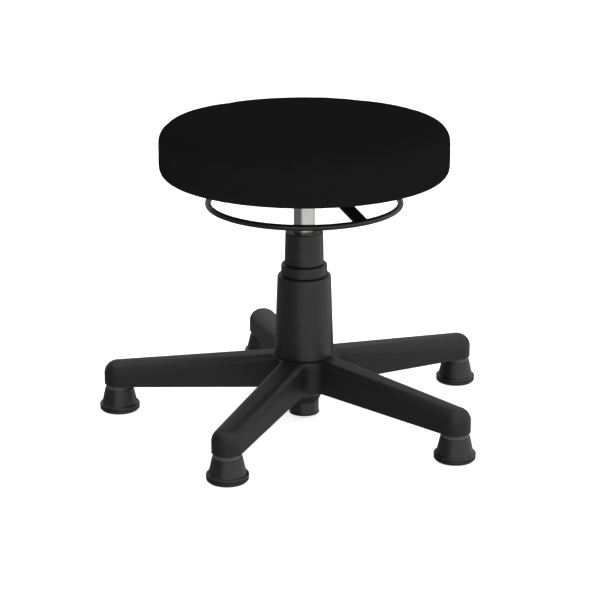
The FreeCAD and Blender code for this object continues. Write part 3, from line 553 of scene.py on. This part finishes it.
@dataclass
class SeatCushion:
    """Round padded seat in one piece of fabric, drawn tight over the foam and under the board."""

    rings: int = 48
    stretch_steps: int = 400
    top_edge: float = 20.0 * MM
    bottom_edge: float = 13.0 * MM
    crown: float = 6.0 * MM
    clearance: float = 0.3 * MM
    mouth_gap: float = 0.05 * MM
    swell_limit: float = 1.6 * MM
    pucker_share: float = 0.12
    pressure: float = 4.0
    stretch_stiffness: float = 25.0
    bend_stiffness: float = 2.0
    quality: int = 6
    frames: int = 20
    gathers: int = 44
    gather_depth: float = 0.9 * MM
    fill: float = 0.9
    solids: tuple[str, ...] = ("seat_board", "tee_nuts")

    def __post_init__(self) -> None:
        """Take the cushion's reach and levels from the solids."""
        low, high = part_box("seat_cover")
        self.radius = high.x
        self.underside = low.z
        self.top = high.z
        self.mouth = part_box("underside_cloth")[1].x + self.mouth_gap
        board_low, board_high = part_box("seat_board")
        self.board_radius = board_high.x + self.clearance
        self.board_underside = board_low.z
        self.board_top = board_high.z + self.clearance

    def profile(self) -> Array:
        """Half-section from the crown over the side to the mouth, as (radius, height) points.

        The crown is an arc of a large sphere, the edges are quarter circles, and the rest is
        straight.

        Returns:
            Points in order, the crown's middle first.
        """
        shoulder = self.top - self.crown
        rim = self.radius - self.top_edge
        sphere = (rim ** 2 + self.crown ** 2) / (2 * self.crown)
        lean = np.linspace(0.0, math.asin(rim / sphere), self.stretch_steps)
        crown = np.stack([sphere * np.sin(lean), self.top - sphere + sphere * np.cos(lean)], 1)
        quarter = np.linspace(0.0, np.pi / 2, self.stretch_steps)
        over = np.stack([rim + self.top_edge * np.sin(quarter),
                         shoulder - self.top_edge * (1 - np.cos(quarter))], 1)
        heel = self.radius - self.bottom_edge
        under = np.stack([heel + self.bottom_edge * np.cos(quarter),
                          self.underside + self.bottom_edge * (1 - np.sin(quarter))], 1)
        mouth = np.array([[self.mouth, self.underside]])
        return np.concatenate([crown, over, under, mouth])

    def loop(self, radius: float | Array, height: float, angle: Array) -> Array:
        """Points at a radius and a height, one for each angle."""
        return np.stack([radius * np.cos(angle), radius * np.sin(angle), np.full(angle.size, height)], axis=1)

    def disc(self) -> tuple[Array, Array, Array]:
        """Square grid pressed into a disc, so that its meshes stay even and it has no pole.

        A grid point (a, b) goes to the ring max(|a|, |b|), at an angle that grows evenly along
        the ring's square.

        Returns:
            Share of the way out, angle of each point, and the grid's quads.
        """
        line = np.linspace(-1.0, 1.0, 2 * self.rings + 1)
        a, b = np.meshgrid(line, line, indexing="ij")
        wide = np.abs(a) >= np.abs(b)
        safe_a = np.where(a == 0, 1.0, a)
        safe_b = np.where(b == 0, 1.0, b)
        angle = np.where(wide, np.pi / 4 * b / safe_a, np.pi / 2 - np.pi / 4 * a / safe_b)
        angle = angle + np.where(np.where(wide, a, b) < 0, np.pi, 0.0)
        share = np.maximum(np.abs(a), np.abs(b))
        number = np.arange(line.size ** 2).reshape(line.size, line.size)
        quads = np.stack([number[:-1, :-1], number[1:, :-1], number[1:, 1:], number[:-1, 1:]], axis=-1)
        return share.ravel(), np.mod(angle.ravel(), 2 * np.pi), quads.reshape(-1, 4)

    def skin_points(self, share: Array, angle: Array) -> tuple[Array, Array]:
        """Lay the disc over the half-section by distance along it, with gathers under the board.

        The gathers hang by depth * flap * (half of 1 - cos(gathers * angle)) squared, where flap
        grows from 0 at the bottom edge to 1 two edge radii further in.

        Args:
            share: Share of the way out, for each point.
            angle: Angle of each point.

        Returns:
            The points, and each one's distance from the crown's middle along the fabric.
        """
        section = self.profile()
        run = np.concatenate([[0.0], np.cumsum(np.linalg.norm(np.diff(section, axis=0), axis=1))])
        along = share * run[-1]
        radius = np.interp(along, run, section[:, 0])
        height = np.interp(along, run, section[:, 1])
        flap = np.clip((self.radius - self.bottom_edge / 2 - radius) / (2 * self.bottom_edge), 0.0, 1.0)
        flap = np.where(height < self.underside + self.bottom_edge / 4, flap, 0.0)
        height = height - self.gather_depth * flap * (0.5 - 0.5 * np.cos(self.gathers * angle)) ** 2
        points = np.stack([radius * np.cos(angle), radius * np.sin(angle), height], axis=1)
        return points, along

    def build(self, workshop: Workshop) -> bpy.types.Object:
        """Dress the board, then make the cushion, swell it and dress it.

        Args:
            workshop: Where the finishes are.

        Returns:
            The finished cushion.
        """
        workshop.dress(self.solids)
        share, angle, quads = self.disc()
        points, along = self.skin_points(share, angle)
        rim = np.flatnonzero(share > 1 - TINY)
        rim = rim[np.argsort(angle[rim])]
        skin = share.size
        mouth = self.loop(self.mouth, self.board_underside - self.clearance, angle[rim])
        ledge = self.loop(self.board_radius, self.board_underside - self.clearance, angle[rim])
        ceiling = self.loop(self.board_radius * share, self.board_top, angle)
        points = np.concatenate([points, mouth, ledge, ceiling])
        first = skin + np.arange(rim.size)
        loops = [rim, first, first + rim.size, rim + skin + 2 * rim.size]
        faces = quads.tolist()
        for near, far in zip(loops, loops[1:]):
            faces += strip_faces(far, near)
        faces += (quads[:, ::-1] + skin + 2 * rim.size).tolist()
        piece = new_piece("seat_cushion", points, faces)
        self.swell(piece, points, np.arange(skin), along)
        hidden = np.full(2 * rim.size, along.max())
        self.lay_cloth_map(piece, np.concatenate([along, hidden, along]),
                           np.concatenate([angle, angle[rim], angle[rim], angle]))
        finer = piece.modifiers.new("finer", "SUBSURF")
        finer.levels = 1
        finer.render_levels = 1
        workshop.hang(piece, Slot.FABRIC, Body.LIFT)
        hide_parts("seat_cover", "seat_foam")
        return piece

    def swell(self, piece: bpy.types.Object, start: Array, skin: Array, along: Array) -> None:
        """Blow the skin up as cloth under pressure, and keep each point near where it started.

        Args:
            piece: The cushion.
            start: Its points before.
            skin: Numbers of the points on the outer skin.
            along: Distance of each skin point from the crown's middle.
        """
        held = piece.vertex_groups.new(name="held")
        free_to = self.radius + self.top - self.underside - self.top_edge
        fixed = np.concatenate([skin[along > free_to], np.arange(skin.size, len(start))])
        held.add(fixed.tolist(), 1.0, "REPLACE")
        cloth = piece.modifiers.new("cloth", "CLOTH")
        cloth.settings.quality = self.quality
        cloth.settings.tension_stiffness = self.stretch_stiffness
        cloth.settings.compression_stiffness = self.stretch_stiffness
        cloth.settings.bending_stiffness = self.bend_stiffness
        cloth.settings.vertex_group_mass = held.name
        cloth.settings.use_pressure = True
        cloth.settings.uniform_pressure_force = self.pressure
        cloth.settings.effector_weights.gravity = 0.0
        cloth.point_cache.frame_start = 1
        cloth.point_cache.frame_end = self.frames
        scene = bpy.context.scene
        for number in range(1, self.frames + 1):
            scene.frame_set(number)
        swollen = piece.evaluated_get(bpy.context.evaluated_depsgraph_get())
        moved = np.empty(start.size)
        swollen.data.vertices.foreach_get("co", moved)
        move = self.evened(moved.reshape(-1, 3) - start, start, along)
        length = np.linalg.norm(move, axis=1, keepdims=True)
        LOG.info("cushion swells by up to %.1f mm before its limit", length.max() / MM)
        move *= self.swell_limit * np.tanh(length / self.swell_limit) / np.maximum(length, TINY)
        piece.modifiers.remove(cloth)
        scene.frame_set(1)
        piece.data.vertices.foreach_set("co", (start + move).ravel())
        piece.data.update()

    def evened(self, move: Array, start: Array, along: Array) -> Array:
        """Even the skin's swelling out round the seat, as firm foam does, and leave a faint pucker.

        The outward and upward parts of the move are averaged over each ring of the disc, the
        foam keeps that average from going inward or down, and only a share of what differs from
        it stays.

        Args:
            move: Move of each point.
            start: Points before the move.
            along: Distance of each skin point from the crown's middle.

        Returns:
            The evened move.
        """
        skin = along.size
        ring = np.rint(along / along.max() * self.rings).astype(int)
        reach = np.linalg.norm(start[:skin, :2], axis=1, keepdims=True)
        out = start[:skin, :2] / np.maximum(reach, TINY)
        outward = np.einsum("ij,ij->i", move[:skin, :2], out)
        upward = move[:skin, 2]
        count = np.bincount(ring)
        mean_out = (np.bincount(ring, outward) / count)[ring]
        mean_up = (np.bincount(ring, upward) / count)[ring]
        even = np.zeros_like(move)
        kept_out = np.maximum(mean_out, 0.0) + self.pucker_share * (outward - mean_out)
        even[:skin, :2] = kept_out[:, None] * out
        even[:skin, 2] = np.maximum(mean_up, 0.0) + self.pucker_share * (upward - mean_up)
        return even

    def lay_cloth_map(self, piece: bpy.types.Object, along: Array, angle: Array) -> None:
        """Map the fabric flat, by distance along it from the crown's middle, in metres.

        Args:
            piece: The cushion.
            along: Distance of each point from the crown's middle.
            angle: Angle of each point.
        """
        mesh = piece.data
        corner = np.empty(len(mesh.loops), dtype=np.int32)
        mesh.loops.foreach_get("vertex_index", corner)
        flat = np.stack([along * np.cos(angle), along * np.sin(angle)], axis=1)
        layer = mesh.uv_layers.new(name=CLOTH_MAP)
        layer.data.foreach_set("uv", flat[corner].ravel())


@dataclass
class SeatUnderside:
    """Mounting plate with its screws, the cloth that closes the seat, and the staples."""

    thickness: float = 0.5 * MM
    sag: float = 1.3 * MM
    mean_drop: float = 0.55
    long_swing: float = 0.3
    short_swing: float = 0.15
    inner: float = 40.0 * MM
    flat_radius: float = 108.0 * MM
    long_waves: int = 11
    short_waves: int = 25
    short_lead: float = 1.0
    rows: int = 60
    columns: int = 240
    screw_pitch: float = 122.0 * MM
    screw_hole: float = 5.0 * MM
    fabric_staples: int = 44
    cloth_staples: int = 28
    staple_length: float = 9.0 * MM
    staple_wire: float = 0.45 * MM
    staple_bend: float = 0.72 * MM
    staple_leg: float = 2.16 * MM
    staple_sides: int = 6
    fabric_ring: float = 160.0 * MM
    cloth_ring: float = 143.0 * MM
    solids: tuple[str, ...] = ("seat_plate", "seat_socket", "plate_screws", "spring_washers")

    def __post_init__(self) -> None:
        """Take the cloth's reach and level from the solids."""
        low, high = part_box("underside_cloth")
        self.outer = high.x
        self.middle = (low.z + high.z) / 2
        self.level = low.z
        self.fabric_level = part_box("seat_cover")[0].z

    def cloth_drop(self, radius: Array, angle: Array) -> Array:
        """How far the cloth hangs below its fixings.

        It is flat under the plate, and between plate and rim hangs by half a sine wave whose
        depth swings with two uneven waves round the seat.

        Args:
            radius: Distance of each point from the axis.
            angle: Angle of each point.

        Returns:
            The drop of each point.
        """
        way = np.clip((radius - self.flat_radius) / (self.outer - self.flat_radius), 0.0, 1.0)
        slow = self.long_swing * np.sin(self.long_waves * angle)
        quick = self.short_swing * np.sin(self.short_waves * angle + self.short_lead)
        return self.sag * np.sin(np.pi * way) * (self.mean_drop + slow + quick)

    def cloth(self, workshop: Workshop) -> bpy.types.Object:
        """Make the underside cloth: a ring of rows and columns, open round the four screws.

        Args:
            workshop: Where the finishes are.

        Returns:
            The cloth.
        """
        radius = np.linspace(self.inner, self.outer, self.rows)
        angle = 2 * np.pi * np.arange(self.columns) / self.columns
        out, turn = np.meshgrid(radius, angle, indexing="ij")
        height = self.middle - self.cloth_drop(out, turn)
        points = np.stack([out * np.cos(turn), out * np.sin(turn), height], axis=-1).reshape(-1, 3)
        number = np.arange(out.size).reshape(out.shape)
        near, far = number[:-1], number[1:]
        quads = np.stack([near, np.roll(near, -1, 1), np.roll(far, -1, 1), far], axis=-1).reshape(-1, 4)
        middle = np.abs(points[quads].mean(axis=1)[:, :2]) - self.screw_pitch / 2
        open_round = np.linalg.norm(middle, axis=1) > self.screw_hole
        piece = new_piece("underside_panel", points, quads[open_round].tolist())
        wall = piece.modifiers.new("thickness", "SOLIDIFY")
        wall.thickness = self.thickness
        wall.offset = 0.0
        workshop.hang(piece, Slot.UNDERSIDE, Body.LIFT)
        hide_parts("underside_cloth")
        return piece

    def staple_paths(self, count: int, ring: float, level: float) -> Array:
        """Wire of each staple: along the cloth, with both ends turned up into the board.

        Args:
            count: Staples round the ring.
            ring: Radius of the ring.
            level: Height of the cloth's outer face.

        Returns:
            Points of each wire, shaped (staple, point, 3).
        """
        angle = 2 * np.pi * np.arange(count) / count
        half = self.staple_length / 2
        bend, leg = self.staple_bend, self.staple_leg
        reach = np.array([-half, -half, -half + bend, half - bend, half, half])
        rise = np.array([leg, bend, 0.0, 0.0, bend, leg])
        tangent = np.stack([-np.sin(angle), np.cos(angle), 0 * angle], axis=1)
        lowest = np.full(count, level - self.staple_wire)
        centre = np.stack([ring * np.cos(angle), ring * np.sin(angle), lowest], axis=1)
        climb = np.array([0.0, 0.0, 1.0])
        return centre[:, None, :] + reach[None, :, None] * tangent[:, None, :] + rise[None, :, None] * climb

    def staples(self, workshop: Workshop) -> bpy.types.Object:
        """Make all the staples as one piece.

        Args:
            workshop: Where the finishes are.

        Returns:
            The staples.
        """
        fabric = self.staple_paths(self.fabric_staples, self.fabric_ring, self.fabric_level)
        cloth = self.staple_paths(self.cloth_staples, self.cloth_ring, self.level)
        paths = np.concatenate([fabric, cloth])
        outward = paths.mean(axis=1) * np.array([1.0, 1.0, 0.0])
        wire = np.full(paths.shape[1], self.staple_wire)
        points, faces = sweep(paths, wire, self.staple_sides, outward)
        piece = new_piece("staples", points, faces)
        workshop.hang(piece, Slot.ZINC, Body.LIFT)
        return piece

    def build(self, workshop: Workshop) -> None:
        """Dress the plate and its screws, and make the cloth and the staples.

        Args:
            workshop: Where the finishes are.
        """
        workshop.dress(self.solids)
        self.cloth(workshop)
        self.staples(workshop)


@dataclass
class ReleaseHoop:
    """Hoop, bar and pin that work the valve, with weld beads where the bar meets the hoop."""

    bead: float = 1.3 * MM
    ripple: float = 0.12
    ripples: int = 11
    thin_end: float = 0.04
    steps: int = 67
    sides: int = 12
    bar_slope: float = math.radians(22.4)
    bar_thickness: float = 3.0 * MM
    end_gap: float = 1.2 * MM
    solids: tuple[str, ...] = ("release_ring", "release_bar", "release_pin")

    def __post_init__(self) -> None:
        """Take the hoop's rod and the bar's width from the solids."""
        low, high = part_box("release_ring")
        self.rod = (high.z - low.z) / 2
        self.ring = high.x - self.rod
        self.level = (low.z + high.z) / 2
        self.half_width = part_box("release_bar")[1].y

    def beads(self, workshop: Workshop) -> bpy.types.Object:
        """Make a rippled bead above and below the bar at both ends.

        At a share s of its length a bead's radius is bead * sqrt(4 * s * (1 - s)), but never
        quite nothing, times 1 + ripple * sin(2 * pi * ripples * s).

        Args:
            workshop: Where the finishes are.

        Returns:
            The beads, as one piece.
        """
        across = np.linspace(self.end_gap - self.half_width, self.half_width - self.end_gap, self.steps)
        centre = np.sqrt(self.ring ** 2 - across ** 2)
        half = self.bar_thickness / 2
        back = math.sqrt(self.rod ** 2 - half ** 2)
        paths = []
        for side in (1.0, -1.0):
            for face in (half, -half):
                inward = centre - back * math.cos(self.bar_slope) + face * math.sin(self.bar_slope)
                height = self.level + back * math.sin(self.bar_slope) + face * math.cos(self.bar_slope)
                paths.append(np.stack([side * inward, across, np.full(self.steps, height)], axis=1))
        share = np.linspace(0.0, 1.0, self.steps)
        taper = np.sqrt(np.maximum(4 * share * (1 - share), self.thin_end))
        radii = self.bead * taper * (1 + self.ripple * np.sin(2 * np.pi * self.ripples * share))
        up = np.tile([0.0, 0.0, 1.0], (len(paths), 1))
        points, faces = sweep(np.array(paths), radii, self.sides, up)
        piece = new_piece("hoop_welds", points, faces)
        workshop.hang(piece, Slot.BLACK_STEEL, Body.RELEASE)
        return piece

    def build(self, workshop: Workshop) -> None:
        """Dress the hoop, bar and pin, and make the weld beads."""
        workshop.dress(self.solids)
        self.beads(workshop)


@dataclass
class GasLift:
    """Gas spring that carries the seat: moving tube, valve, rod, bearing and the outer tube."""

    moving: tuple[str, ...] = ("pressure_tube", "valve_body", "tube_gland")
    spindle: tuple[str, ...] = ("piston_rod", "piston", "bearing_upper_race", "bump_stop", "retaining_clip")
    fixed: tuple[str, ...] = ("outer_tube", "guide_bush", "bearing_lower_race", "bearing_cage",
                              "bearing_balls", "clip_washer")

    def build(self, workshop: Workshop) -> None:
        """Dress the spring's solids from the seat down."""
        workshop.dress(self.moving + self.spindle + self.fixed)


@dataclass
class ColumnCovers:
    """Three telescoping plastic sleeves that hide the gas spring."""

    sleeves: tuple[str, ...] = ("upper_cover", "middle_cover", "lower_cover")

    def build(self, workshop: Workshop) -> None:
        """Dress the sleeves from the top down."""
        workshop.dress(self.sleeves)


@dataclass
class FiveStarBase:
    """One moulding with five hollow ribbed legs."""

    moulding: tuple[str, ...] = ("star_base",)

    def build(self, workshop: Workshop) -> None:
        """Dress the moulding."""
        workshop.dress(self.moulding)


@dataclass
class BellGlides:
    """Five bell-shaped glides, each with a sole, a stem, a grip ring and a grey washer.

    Each bell is drawn again as one turned moulding with a deeper groove over its sole, and the
    washer fills most of the gap under the leg's end; its light grey is a painted reflection of
    the bright room that the glossy bell top shows there.
    """

    count: int = 5
    sides: int = 96
    corner_steps: int = 6
    crease: float = math.radians(32.0)
    sole_top: float = 4.8 * MM
    lip_bottom: float = 6.3 * MM
    lip_top: float = 9.8 * MM
    lip_radius: float = 27.15 * MM
    groove: float = 1.3 * MM
    foot_radius: float = 24.0 * MM
    top_radius: float = 19.0 * MM
    top: float = 32.0 * MM
    shank_radius: float = 5.05 * MM
    roof: float = 26.0 * MM
    wall: float = 3.0 * MM
    edge: float = 0.7 * MM
    washer_foot: float = 18.0 * MM
    washer_radius: float = 15.6 * MM
    washer_hole: float = 7.5 * MM
    washer_top: float = 36.2 * MM
    washer_gap: float = 0.02 * MM
    rigid: tuple[str, ...] = ("glide_sole", "glide_stem", "glide_grip")

    def bell_corners(self) -> list[Corner]:
        """Lay out the bell's half-section.

        Returns:
            Its corners, outside first, as (radius, height, rounding).
        """
        return [
            (self.foot_radius - self.wall, self.sole_top, 0.0),
            (self.lip_radius - self.groove, self.sole_top, 0.0),
            (self.lip_radius - self.groove, self.lip_bottom, 0.0),
            (self.lip_radius, self.lip_bottom, self.edge),
            (self.lip_radius, self.lip_top, (self.lip_top - self.lip_bottom) / 2),
            (self.foot_radius, self.lip_top, self.edge),
            (self.top_radius, self.top, self.edge),
            (self.shank_radius, self.top, 0.0),
            (self.shank_radius, self.roof, 0.0),
            (self.top_radius - self.wall, self.roof, 0.0),
        ]

    def washer_corners(self) -> list[Corner]:
        """Lay out the washer's half-section.

        Returns:
            Its corners, as (radius, height, rounding).
        """
        return [
            (self.washer_hole, self.top + self.washer_gap, 0.0),
            (self.washer_foot, self.top + self.washer_gap, 0.0),
            (self.washer_radius, self.washer_top, self.edge),
            (self.washer_hole, self.washer_top, 0.0),
        ]

    def section(self, corners: Sequence[Corner]) -> Array:
        """Half-section with its corners rounded.

        A rounded corner is a quadratic curve from a point before the corner, which it is pulled
        towards, to a point as far after it.

        Args:
            corners: Corners in order round the section, as (radius, height, rounding).

        Returns:
            Points (radius, height) in order round the section.
        """
        corner = np.array(corners)
        place, rounding = corner[:, :2], corner[:, 2:]
        back = np.roll(place, 1, axis=0) - place
        ahead = np.roll(place, -1, axis=0) - place
        start = place + rounding * back / np.linalg.norm(back, axis=1, keepdims=True)
        end = place + rounding * ahead / np.linalg.norm(ahead, axis=1, keepdims=True)
        way = np.linspace(0.0, 1.0, self.corner_steps)[None, :, None]
        before, after = start[:, None], end[:, None]
        curve = (1 - way) ** 2 * before + 2 * way * (1 - way) * place[:, None] + way ** 2 * after
        kept = np.broadcast_to((rounding > 0) | (np.arange(self.corner_steps) == 0), curve.shape[:2])
        return curve[kept]

    def turned(self, name: str, corners: Sequence[Corner], node: str) -> bpy.types.Object:
        """Turn a half-section about the upright axis of a solid.

        Args:
            name: Name of the new piece.
            corners: Corners of the half-section.
            node: Solid whose axis is taken.

        Returns:
            The new piece.
        """
        low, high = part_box(node)
        radius, height = self.section(corners).T
        turn = 2 * np.pi * np.arange(self.sides) / self.sides
        across = (low.x + high.x) / 2 + radius[:, None] * np.cos(turn)
        along = (low.y + high.y) / 2 + radius[:, None] * np.sin(turn)
        points = np.stack([across, along, np.broadcast_to(height[:, None], across.shape)], axis=-1)
        index = np.arange(across.size).reshape(across.shape)
        above = np.roll(index, -1, axis=0)
        quads = np.stack([index, np.roll(index, -1, 1), np.roll(above, -1, 1), above], axis=-1)
        piece = new_piece(name, points.reshape(-1, 3), quads.reshape(-1, 4).tolist())
        piece.data.set_sharp_from_angle(angle=self.crease)
        return piece

    def build(self, workshop: Workshop) -> None:
        """Dress the rigid parts of each glide, and turn its bell and its washer.

        Args:
            workshop: Where the finishes are.
        """
        for number in range(1, self.count + 1):
            body = Body(f"glide_{number}")
            node = f"glide_bell_{number}"
            workshop.dress([f"{part}_{number}" for part in self.rigid])
            bell = self.turned(f"bell_{number}", self.bell_corners(), node)
            workshop.hang(bell, Slot.GLIDE, body)
            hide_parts(node)
            # Painted reflection: the washer's light grey stands in for the bright room seen in the gap under
            # the leg's end.
            washer = self.turned(f"bell_washer_painted_reflection_{number}", self.washer_corners(), node)
            workshop.hang(washer, Slot.GLIDE, body, WASHER_PAINTED_REFLECTION_FINISH)


@dataclass(frozen=True)
class Softbox:
    """Soft light: its place as the camera sees it, its size and its brightness.

    Its power is brightness * pi * width * depth.
    """

    name: str
    right: float
    ahead: float
    height: float
    width: float
    depth: float
    brightness: float


@dataclass
class Studio:
    """White floor and backdrop, soft panels round the stool, and the photograph's camera."""

    azimuth: float = math.radians(54.64)
    pitch: float = math.radians(17.61)
    lens: float = 119.885
    sensor: float = 36.0
    distance: float = 2.542368
    aside: float = -0.005584
    height: float = 0.968348
    floor_reach: float = 40.0
    wall_sides: int = 64
    floor_glow: float = 0.75
    wall_glow: float = 1.0
    paint: str = "#f4f4f4"
    paint_roughness: float = 0.9
    white: str = "#ffffff"
    aim: float = 0.2
    room: float = 0.17
    panels: tuple[Softbox, ...] = (
        Softbox("front_panel", right=1.27, ahead=-3.15, height=0.7, width=8.7, depth=5.4, brightness=0.78),
        Softbox("side_panel", right=3.3, ahead=0.8, height=0.5, width=4.9, depth=4.6, brightness=0.7),
        Softbox("overhead", right=0.2, ahead=0.1, height=3.2, width=5.2, depth=5.2, brightness=1.3),
        Softbox("back_panel", right=-0.4, ahead=3.4, height=1.1, width=6.0, depth=2.4, brightness=0.46),
    )

    def turned(self, right: float, ahead: float, height: float) -> Vector:
        """Point from its place as the camera sees it: to the right, away and up."""
        cos, sin = math.cos(self.azimuth), math.sin(self.azimuth)
        return Vector((right * cos - ahead * sin, right * sin + ahead * cos, height))

    def camera(self) -> None:
        """Set up the camera where the photograph was taken from."""
        data = bpy.data.cameras.new("camera")
        data.lens = self.lens
        data.sensor_width = self.sensor
        camera = bpy.data.objects.new("camera", data)
        camera.location = self.turned(self.aside, -self.distance, self.height)
        camera.rotation_euler = (math.pi / 2 - self.pitch, 0.0, self.azimuth)
        bpy.context.scene.collection.objects.link(camera)
        bpy.context.scene.camera = camera

    def glowing(self, name: str, glow: float) -> bpy.types.Material:
        """Make a white studio paint that gives off light.

        Args:
            name: Name of the material.
            glow: How bright it is by itself.

        Returns:
            The material.
        """
        material = bpy.data.materials.new(name)
        material.use_nodes = True
        shader = material.node_tree.nodes[SHADER]
        shader.inputs["Base Color"].default_value = linear(self.paint)
        shader.inputs["Roughness"].default_value = self.paint_roughness
        shader.inputs["Emission Color"].default_value = linear(self.white)
        shader.inputs["Emission Strength"].default_value = glow
        return material

    def floor(self) -> None:
        """Lay a large white floor under the stool."""
        corners = np.array([[-1.0, -1.0, 0.0], [1.0, -1.0, 0.0], [1.0, 1.0, 0.0], [-1.0, 1.0, 0.0]])
        floor = new_piece("floor", self.floor_reach * corners, [[0, 1, 2, 3]], smooth=False)
        floor.data.materials.append(self.glowing("white_studio_floor", self.floor_glow))
        floor.visible_glossy = False
        floor.visible_shadow = False

    def backdrop(self) -> None:
        """Stand a white wall round the floor's edge that only the camera sees.

        The wall is a cylinder: a circle of the floor's reach, carried straight up.
        """
        turn = 2 * np.pi * np.arange(self.wall_sides) / self.wall_sides
        ring = self.floor_reach * np.stack([np.cos(turn), np.sin(turn), 0 * turn], axis=1)
        points = np.concatenate([ring, ring + np.array([0.0, 0.0, self.floor_reach])])
        index = np.arange(self.wall_sides)
        wall = new_piece("backdrop", points, strip_faces(index + self.wall_sides, index))
        wall.data.materials.append(self.glowing("white_studio_wall", self.wall_glow))
        wall.visible_diffuse = False
        wall.visible_glossy = False
        wall.visible_shadow = False

    def softbox(self, panel: Softbox) -> None:
        """Hang one soft light, turned to the stool.

        Args:
            panel: The light's place, size and brightness.
        """
        data = bpy.data.lights.new(panel.name, "AREA")
        data.shape = "RECTANGLE"
        data.size = panel.width
        data.size_y = panel.depth
        data.energy = panel.brightness * math.pi * panel.width * panel.depth
        light = bpy.data.objects.new(panel.name, data)
        light.location = self.turned(panel.right, panel.ahead, panel.height)
        facing = Vector((0.0, 0.0, self.aim)) - light.location
        light.rotation_euler = facing.to_track_quat("-Z", "Y").to_euler()
        light.visible_camera = False
        bpy.context.scene.collection.objects.link(light)

    def light(self) -> None:
        """Light the stool with a dim room and the soft panels."""
        world = bpy.data.worlds.new("room")
        world.use_nodes = True
        background = world.node_tree.nodes["Background"]
        background.inputs["Color"].default_value = linear(self.white)
        background.inputs["Strength"].default_value = self.room
        bpy.context.scene.world = world
        for panel in self.panels:
            self.softbox(panel)

    def build(self) -> None:
        """Set up camera, floor, backdrop and light, with plain colours."""
        bpy.context.scene.view_settings.view_transform = "Standard"
        self.camera()
        self.floor()
        self.backdrop()
        self.light()


def main() -> None:
    """Build the sub-assemblies in order."""
    logging.basicConfig(level=logging.INFO, format="%(name)s: %(message)s")
    Studio().build()
    workshop = Workshop()
    assemblies = (SeatCushion(), SeatUnderside(), ReleaseHoop(), GasLift(), ColumnCovers(),
                  FiveStarBase(), BellGlides())
    for assembly in assemblies:
        assembly.build(workshop)


if __name__ == "__main__":
    main()
